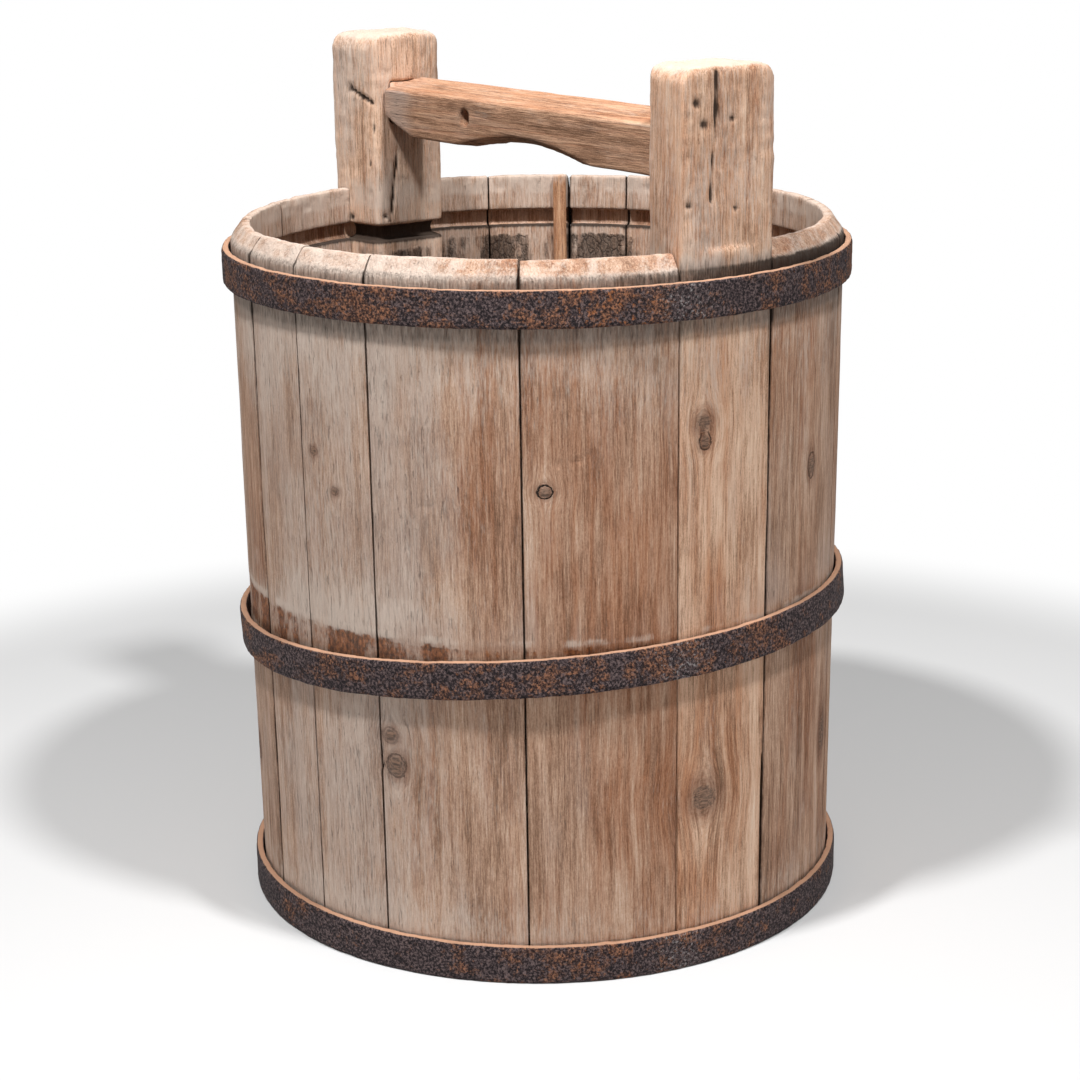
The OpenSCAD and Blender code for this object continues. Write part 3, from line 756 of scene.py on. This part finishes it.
def iron_material(name):
    """Old hoop iron: near-black scale with brown and orange rust, pale specks, and an upper edge that is dusty and
    carries a painted highlight.
    """
    sh = Shader(name)
    place = sh.vector("grain")
    speck = sh.noise(sh.stretched(place, 0.42, 0.42, 0.42), 5.0, 0.68)
    fine = sh.noise(sh.stretched(place, 0.62, 0.62, 0.62), 4.0, 0.75)
    cloud = sh.noise(sh.stretched(place, 0.035, 0.07, 0.07), 4.0, 0.6)
    base = sh.ramp(fine, [(0.40, srgb(20, 16, 18)), (0.5, srgb(58, 47, 50)), (0.60, srgb(120, 102, 100))])
    rusty = sh.math("MULTIPLY_ADD", cloud, 1.9, sh.math("MULTIPLY_ADD", speck, 1.3, sh.value("rust")))
    rusty = sh.rise(rusty, 1.62, 1.92)
    tint = sh.ramp(fine, [(0.40, srgb(34, 22, 22)), (0.5, srgb(98, 68, 56)), (0.60, srgb(176, 118, 82))])
    colour = sh.mix(sh.math("MULTIPLY", rusty, 0.85), base, tint)
    orange = sh.noise(sh.stretched(place, 0.30, 0.30, 0.30), 4.0, 0.7)
    orange = sh.rise(sh.math("MULTIPLY_ADD", sh.value("warm"), 0.3, orange), 0.66, 0.76)
    colour = sh.mix(sh.math("MULTIPLY", orange, 0.7), colour, srgb(178, 108, 58))
    pale = sh.noise(sh.stretched(place, 0.5, 0.5, 0.5), 4.0, 0.75)
    pale = sh.rise(sh.math("MULTIPLY_ADD", sh.value("pale"), 0.3, pale), 0.74, 0.86)
    colour = sh.mix(sh.math("MULTIPLY", pale, 0.75), colour, srgb(176, 168, 166))
    # Upper faces turn pale pink: partly dusty, and partly a painted highlight along the top edge.
    dust = sh.rise(sh.math("MULTIPLY_ADD", fine, 0.8, sh.math("ADD", sh.value("dust"), -0.4)), 0.25, 0.8)
    colour = sh.mix(dust, colour, srgb(196, 152, 124))
    height = sh.math("MULTIPLY_ADD", speck, 0.6, sh.math("MULTIPLY", fine, 0.5))
    height = sh.math("MULTIPLY_ADD", rusty, 0.15, height)
    return sh.finish(colour, 0.72, height, 1.4, 0.25)


STAVE_TONES = [
    (0.00, srgb(104, 78, 62)), (0.30, srgb(156, 121, 98)), (0.52, srgb(192, 155, 130)),
    (0.74, srgb(214, 181, 157)), (1.00, srgb(238, 216, 197))]
POST_TONES = [
    (0.00, srgb(106, 80, 62)), (0.30, srgb(186, 146, 118)), (0.52, srgb(228, 190, 162)),
    (0.74, srgb(244, 210, 182)), (1.00, srgb(250, 232, 214))]
BAR_TONES = [
    (0.00, srgb(96, 70, 54)), (0.30, srgb(156, 118, 92)), (0.52, srgb(200, 156, 126)),
    (0.74, srgb(216, 174, 142)), (1.00, srgb(230, 198, 170))]
FLOOR_TONES = [
    (0.00, srgb(66, 50, 41)), (0.35, srgb(100, 77, 62)), (0.60, srgb(136, 107, 87)),
    (1.00, srgb(178, 148, 124))]
BATTEN_TONES = [
    (0.00, srgb(116, 82, 60)), (0.35, srgb(178, 132, 99)), (0.60, srgb(212, 166, 130)),
    (1.00, srgb(238, 202, 168))]
GREY_WOOD = srgb(186, 172, 164)
WARM_WOOD = srgb(212, 168, 132)

stave_wood = wood_material("stave_wood_old", STAVE_TONES, GREY_WOOD, WARM_WOOD)
post_wood = wood_material("post_wood_old", POST_TONES, GREY_WOOD, WARM_WOOD, 0.2, 0.8)
bar_wood = wood_material("bar_wood_old", BAR_TONES, GREY_WOOD, WARM_WOOD, 0.4, 0.6)
floor_wood = wood_material("floor_wood_old", FLOOR_TONES, GREY_WOOD, WARM_WOOD)
batten_wood = wood_material("batten_wood_old", BATTEN_TONES, GREY_WOOD, WARM_WOOD, 0.3, 0.3)
hoop_iron = iron_material("hoop_iron_old")


# The wall

def make_staves():
    for number, name in enumerate(STAVES, 1):
        placed(make_stave(name, number), stave_wood, "weathered_wood", name)


def make_post(name, middle, seed):
    """A post stave: its edges worn round, its faces dented and checked."""
    obj = remeshed(name + "_worn", name, 1.6, 6)
    points = points_of(obj)
    field = wall_fields(points, seed)
    place = points + np.array([0, 0, 300.0 * seed])
    above = step(RIM_HEIGHT - 25, RIM_HEIGHT + 10, field["z"])
    amount = -0.3 + 0.1 * noise(place, (2.4, 2.4, 40), seed + 1) + 0.3 * noise(place, (20, 20, 80), seed + 2)
    amount += above * (0.7 * noise(place, (14, 14, 26), seed + 3, 2) + 0.25 * noise(place, 4, seed + 4))
    amount -= above * 1.2 * np.maximum(0, noise(place, (6, 6, 9), seed + 5) - 0.5)
    marks = post_marks(points)
    amount -= 1.6 * marks
    points += normals_of(obj) * amount[:, None]
    move_points(obj, points)
    top = step(RIM_HEIGHT - 4, RIM_HEIGHT + 14, field["z"])
    field["pale"] = field["pale"] * (1 - top) + top * (0.35 + 0.4 * field["patch"])
    end_grain = step(0.5, 0.9, normals_of(obj)[:, 2]) * step(POST_HEIGHT - 12, POST_HEIGHT - 4, field["z"])
    field["pale"] = field["pale"] + 0.7 * end_grain
    field["warm"] = field["warm"] + top * (0.05 + 0.3 * field["slow"])
    field["dirt"] = field["dirt"] * (1 - top) + 1.2 * marks + top * 0.3 * np.maximum(0, field["ragged"])
    set_wood_values(obj, field, middle, seed)
    return obj


def make_bar():
    """The handle bar: grain along X, worn round and smooth."""
    obj = remeshed("handle_bar_worn", "handle_bar", 1.2, 10)
    points = points_of(obj)
    x, y, z = points.T
    turned = np.stack([y, z, x], axis=1)
    slow = noise(turned, (14, 14, 60), 51, 2)
    patch = noise(turned, (7, 7, 26), 52, 3)
    amount = 0.22 * noise(turned, (1.8, 1.8, 50), 53) + 0.5 * slow + 0.15 * noise(turned, (4, 4, 12), 54)
    normals = normals_of(obj)
    points += normals * (amount - 0.2)[:, None]
    move_points(obj, points)
    upward = normals[:, 2]
    top = step(0.35, 0.8, upward)
    # Painted shade: faces of the bar that turn downward are darkened.
    under = step(-0.2, -0.6, upward)
    left_end = step(-105, -135, x)
    rings = np.hypot(y - 20 + 0.02 * x, z - 470 + 0.01 * x) + 1.2 * slow
    set_values(
        obj, grain=turned + np.array([300.0, 40.0, 70.0]), rings=rings,
        grey=0.2 + 0.7 * left_end + 0.3 * patch - 0.6 * top, warm=0.1 + 0.4 * top + 0.3 * slow,
        pale=0.1 * top + 0.3 * patch, dirt=0.12 + 0.35 * under + 0.15 * patch, rust=np.zeros(len(x)),
        residue=np.zeros(len(x)), knot=np.full(len(x), 4.0), knot_ring=np.zeros(len(x)))
    return placed(obj, bar_wood, "bar_wood", "handle_bar")


def make_floor_board(node, seed):
    """A board of the bucket's floor, dark and dented."""
    obj = remeshed(node + "_worn", node, 2.2, 3)
    points = points_of(obj)
    x, y, z = points.T
    turned = np.stack([y, z, x], axis=1) + 60.0 * seed
    patch = noise(turned, (14, 14, 60), seed + 61, 3)
    amount = 0.15 * noise(turned, (3, 3, 60), seed + 62) + 0.2 * patch - 0.2
    points += normals_of(obj) * amount[:, None]
    move_points(obj, points)
    none = np.zeros(len(x))
    rings = np.hypot(y - 30 * seed, z - 60 + 0.04 * x) + 1.5 * patch
    set_values(obj, grain=turned, rings=rings, grey=0.5 + 0.3 * patch, warm=0.2 + 0.2 * patch,
               pale=0.1 + 0.3 * patch, dirt=0.35 + 0.25 * patch, rust=none, residue=0.3 + 0.4 * patch,
               knot=none + 4, knot_ring=none)
    return placed(obj, floor_wood, "floor_wood", node)


def make_batten():
    """The batten over the open seam inside."""
    obj = remeshed("seam_batten_worn", "seam_batten", 0.9, 3)
    points = points_of(obj)
    theta = direction_of(points)
    across = np.radians(turn_from(theta, BATTEN_DIRECTION)) * (RIM_RADIUS - WALL)
    place = np.stack([across, np.hypot(points[:, 0], points[:, 1]), points[:, 2]], axis=1)
    patch = noise(place, (6, 6, 30), 71, 3)
    points += normals_of(obj) * (0.12 * noise(place, (2, 2, 30), 72) - 0.05)[:, None]
    move_points(obj, points)
    none = np.zeros(len(across))
    low = step(GROOVE_LOW + 6, GROOVE_LOW - 40, points[:, 2])
    end_grain = step(RIM_HEIGHT - 8, RIM_HEIGHT - 2, points[:, 2])
    set_values(
        obj, grain=place, rings=across * 0.9 + 2 * patch, grey=0.1 + 0.2 * patch, warm=0.4 + 0.2 * patch,
        pale=0.1 + 0.3 * patch + 0.5 * end_grain, dirt=0.1 + 0.25 * low, rust=none, residue=none,
        knot=none + 4, knot_ring=none)
    return placed(obj, batten_wood, "batten_wood", "seam_batten")


# The hoops

def hoop_plane(node):
    """A hoop's centre, its three axes as columns, its inner radius and its width."""
    points = node_points(node)
    askew = node == "hoop_middle"
    normal = np.array([-askew * math.tan(math.radians(MIDDLE_HOOP_RISE_X)),
                       -askew * math.tan(math.radians(MIDDLE_HOOP_RISE_Y)), 1.0])
    normal /= np.linalg.norm(normal)
    side = np.array([1.0, 0.0, 0.0])
    side -= normal * side.dot(normal)
    side /= np.linalg.norm(side)
    axes = np.stack([side, np.cross(normal, side), normal], axis=1)
    along = points @ normal
    centre = np.array([0, 0, (along.min() + along.max()) / 2 / normal[2]])
    local = (points - centre) @ axes
    inner = np.hypot(local[:, 0], local[:, 1]).min()
    width = np.ptp(local[:, 2])
    return centre, axes, inner, width


def hoop_section(inner, width):
    """Outline of the flat bar with worn outer edges, as (radius, height)."""
    half = width / 2
    outer = inner + HOOP_THICKNESS
    corners = [(inner, half), (inner, -half), (outer - 0.8, -half), (outer, -half + 1.4),
               (outer, half - 1.4), (outer - 0.8, half)]
    return softened(resampled(corners, [1.6, 0.8, 0.8, 1.0, 0.8, 0.8]), 2)


def make_hoop(node, seed, rust, looseness):
    """A hoop of flat bar with its lap, hammered a little uneven and pitted by rust."""
    centre, axes, inner, width = hoop_plane(node)
    section = hoop_section(inner, width)
    lap_half = math.degrees(LAP_LENGTH / 2 / RIM_RADIUS)
    fine = np.arange(0, 360, 0.5)
    ends = [LAP_DIRECTION + sign * lap_half + nudge for sign in (-1, 1) for nudge in (-0.06, 0.06)]
    theta = np.array(sorted(set(fine) | set(ends)))
    lapped = np.abs(turn_from(theta, LAP_DIRECTION)) < lap_half
    outer_half = section[:, 0] > inner + HOOP_THICKNESS / 2
    radius = section[None, :, 0] + LAP_THICKNESS * lapped[:, None] * outer_half[None, :]
    radians = np.radians(theta)[:, None]
    height = np.broadcast_to(section[:, 1], radius.shape)
    local = np.stack([radius * np.cos(radians), radius * np.sin(radians), height], axis=-1)
    obj = swept(node + "_worn", local @ axes.T + centre, True)
    points = points_of(obj)
    place = local.reshape(-1, 3)
    edge = step(width / 2 - 2.5, width / 2, np.abs(place[:, 2]))
    amount = 0.25 * noise(place, (9, 9, 9), seed, 2) + 0.12 * noise(place, 2.2, seed + 1)
    amount -= 0.5 * np.maximum(0, noise(place, 3.5, seed + 2) - 0.35)
    amount += edge * 0.35 * noise(place, 7, seed + 3, 2) - 0.1
    points += normals_of(obj) * amount[:, None]
    points += looseness * np.outer(noise(place * (1, 1, 0), 140, seed + 4), axes[:, 2])
    move_points(obj, points)
    upper = normals_of(obj) @ axes[:, 2]
    far = noise(place, 80, seed + 5, 2)
    theta_all = direction_of(place)
    set_values(
        obj, grain=place + 500.0 * seed, rust=rust + 0.3 * far, warm=rust + 0.5 * far,
        pale=bump(turn_from(theta_all, 350), 0, 9) * 0.8 - 0.1,
        # Faces pointing up: dusty, with a painted highlight.
        dust=step(0.55, 1.0, upper))
    return placed(obj, hoop_iron, "hoop_iron", node)


def make_rivets(node, seed):
    """The two rivets of a lap, their heads hammered."""
    obj = remeshed(node + "_worn", node, 0.5, 4)
    points = points_of(obj)
    points += normals_of(obj) * (0.15 * noise(points, 2.0, seed))[:, None]
    move_points(obj, points)
    none = np.zeros(len(points))
    set_values(obj, grain=points, rust=none + 0.15, warm=none + 0.2, pale=none, dust=none)
    return placed(obj, hoop_iron, "hoop_iron", node)


# Floor, light and camera

def make_stage():
    """A wide pale floor that keeps the bucket's shadow and is plain white beyond it, under a white world."""
    half = FLOOR_HALF_WIDTH
    corners = np.array([(-half, -half, 0), (half, -half, 0), (half, half, 0), (-half, half, 0)])
    floor = make_object("studio_floor", corners, [(0, 1, 2, 3)])
    sh = Shader("studio_floor_white")
    seen = sh.node("ShaderNodeLightPath", {}).outputs["Is Camera Ray"]
    place = sh.node("ShaderNodeTexCoord", {}).outputs["Object"]
    away = sh.node("ShaderNodeVectorMath", {0: place}, operation="LENGTH").outputs["Value"]
    white = sh.node("ShaderNodeEmission", {"Color": (1.0, 1.0, 1.0, 1.0), "Strength": 1.0})
    near = sh.node("ShaderNodeBsdfDiffuse", {"Color": (0.72, 0.72, 0.72, 1.0)})
    far = sh.rise(away, SHADOW_REACH * MM, WHITE_FROM * MM)
    shown = sh.node("ShaderNodeMixShader", {0: far, 1: near.outputs[0], 2: white.outputs[0]})
    lighting = sh.node("ShaderNodeBsdfDiffuse", {"Color": (0.6, 0.6, 0.6, 1.0)})
    both = sh.node("ShaderNodeMixShader", {0: seen, 1: lighting.outputs[0], 2: shown.outputs[0]})
    sh.node("ShaderNodeOutputMaterial", {"Surface": both.outputs[0]})
    floor.data.materials.append(sh.material)

    world = bpy.data.worlds.new("studio")
    bpy.context.scene.world = world
    world.use_nodes = True
    nodes = world.node_tree.nodes
    links = world.node_tree.links
    nodes.clear()
    path = nodes.new("ShaderNodeLightPath")
    seen = nodes.new("ShaderNodeMath")
    seen.operation = "MAXIMUM"
    links.new(path.outputs["Is Camera Ray"], seen.inputs[0])
    links.new(path.outputs["Is Transmission Ray"], seen.inputs[1])
    strength = nodes.new("ShaderNodeMapRange")
    strength.inputs["To Min"].default_value = AMBIENT
    strength.inputs["To Max"].default_value = 1.0
    links.new(seen.outputs[0], strength.inputs["Value"])
    background = nodes.new("ShaderNodeBackground")
    background.inputs["Color"].default_value = (1.0, 1.0, 1.0, 1.0)
    links.new(strength.outputs["Result"], background.inputs["Strength"])
    output = nodes.new("ShaderNodeOutputWorld")
    links.new(background.outputs[0], output.inputs["Surface"])


def add_lamp(name, direction, level):
    """A round soft lamp aimed at the bucket; level is how bright it lights a white surface that faces it."""
    target = Vector((0, 0, 0.25))
    turn = math.radians(direction)
    place = Vector((LAMP_DISTANCE * math.cos(turn), LAMP_DISTANCE * math.sin(turn), LAMP_HEIGHT))
    data = bpy.data.lights.new(name, "AREA")
    data.shape = "DISK"
    data.size = LAMP_WIDTH
    data.energy = level * math.pi ** 2 * (place - target).length_squared
    lamp = bpy.data.objects.new(name, data)
    lamp.location = place
    lamp.rotation_euler = (target - place).to_track_quat("-Z", "Y").to_euler()
    bpy.context.scene.collection.objects.link(lamp)


def make_camera():
    """The photograph's camera."""
    azimuth = math.radians(CAMERA_AZIMUTH)
    pitch = math.radians(CAMERA_PITCH)
    roll = math.radians(CAMERA_ROLL)
    right = Vector((math.cos(azimuth), math.sin(azimuth), 0))
    ahead = Vector((-math.sin(azimuth), math.cos(azimuth), 0))
    look = ahead * math.cos(pitch) - Vector((0, 0, math.sin(pitch)))
    up = right.cross(look)
    turned_right = right * math.cos(roll) + up * math.sin(roll)
    turned_up = up * math.cos(roll) - right * math.sin(roll)
    data = bpy.data.cameras.new("camera")
    data.sensor_width = 36
    data.lens = LENS
    camera = bpy.data.objects.new("camera", data)
    turn = Matrix((turned_right, turned_up, -look)).transposed().to_4x4()
    place = -ahead * CAMERA_DISTANCE + right * CAMERA_SIDE_STEP + Vector((0, 0, CAMERA_HEIGHT))
    camera.matrix_world = Matrix.Translation(place) @ turn
    bpy.context.scene.collection.objects.link(camera)
    bpy.context.scene.camera = camera


make_camera()
make_stage()
add_lamp("lamp_right", LAMP_RIGHT_DIRECTION, LAMP_RIGHT_LEVEL)
add_lamp("lamp_left", LAMP_LEFT_DIRECTION, LAMP_LEFT_LEVEL)
make_staves()
placed(make_post("post_stave_right", 0, 41), post_wood, "post_wood", "post_stave_right")
placed(make_post("post_stave_left", 180, 42), post_wood, "post_wood", "post_stave_left")
make_bar()
for number, node in enumerate(("floor_board_near", "floor_board_middle", "floor_board_far")):
    make_floor_board(node, number)
make_batten()
make_hoop("hoop_top", 81, 0.12, 0.0)
make_hoop("hoop_middle", 82, 0.12, 0.6)
make_hoop("hoop_bottom", 83, -0.08, 0.0)
for number, node in enumerate(("rivets_hoop_top", "rivets_hoop_middle", "rivets_hoop_bottom")):
    make_rivets(node, 91 + number)

bpy.context.scene.view_settings.view_transform = "Standard"
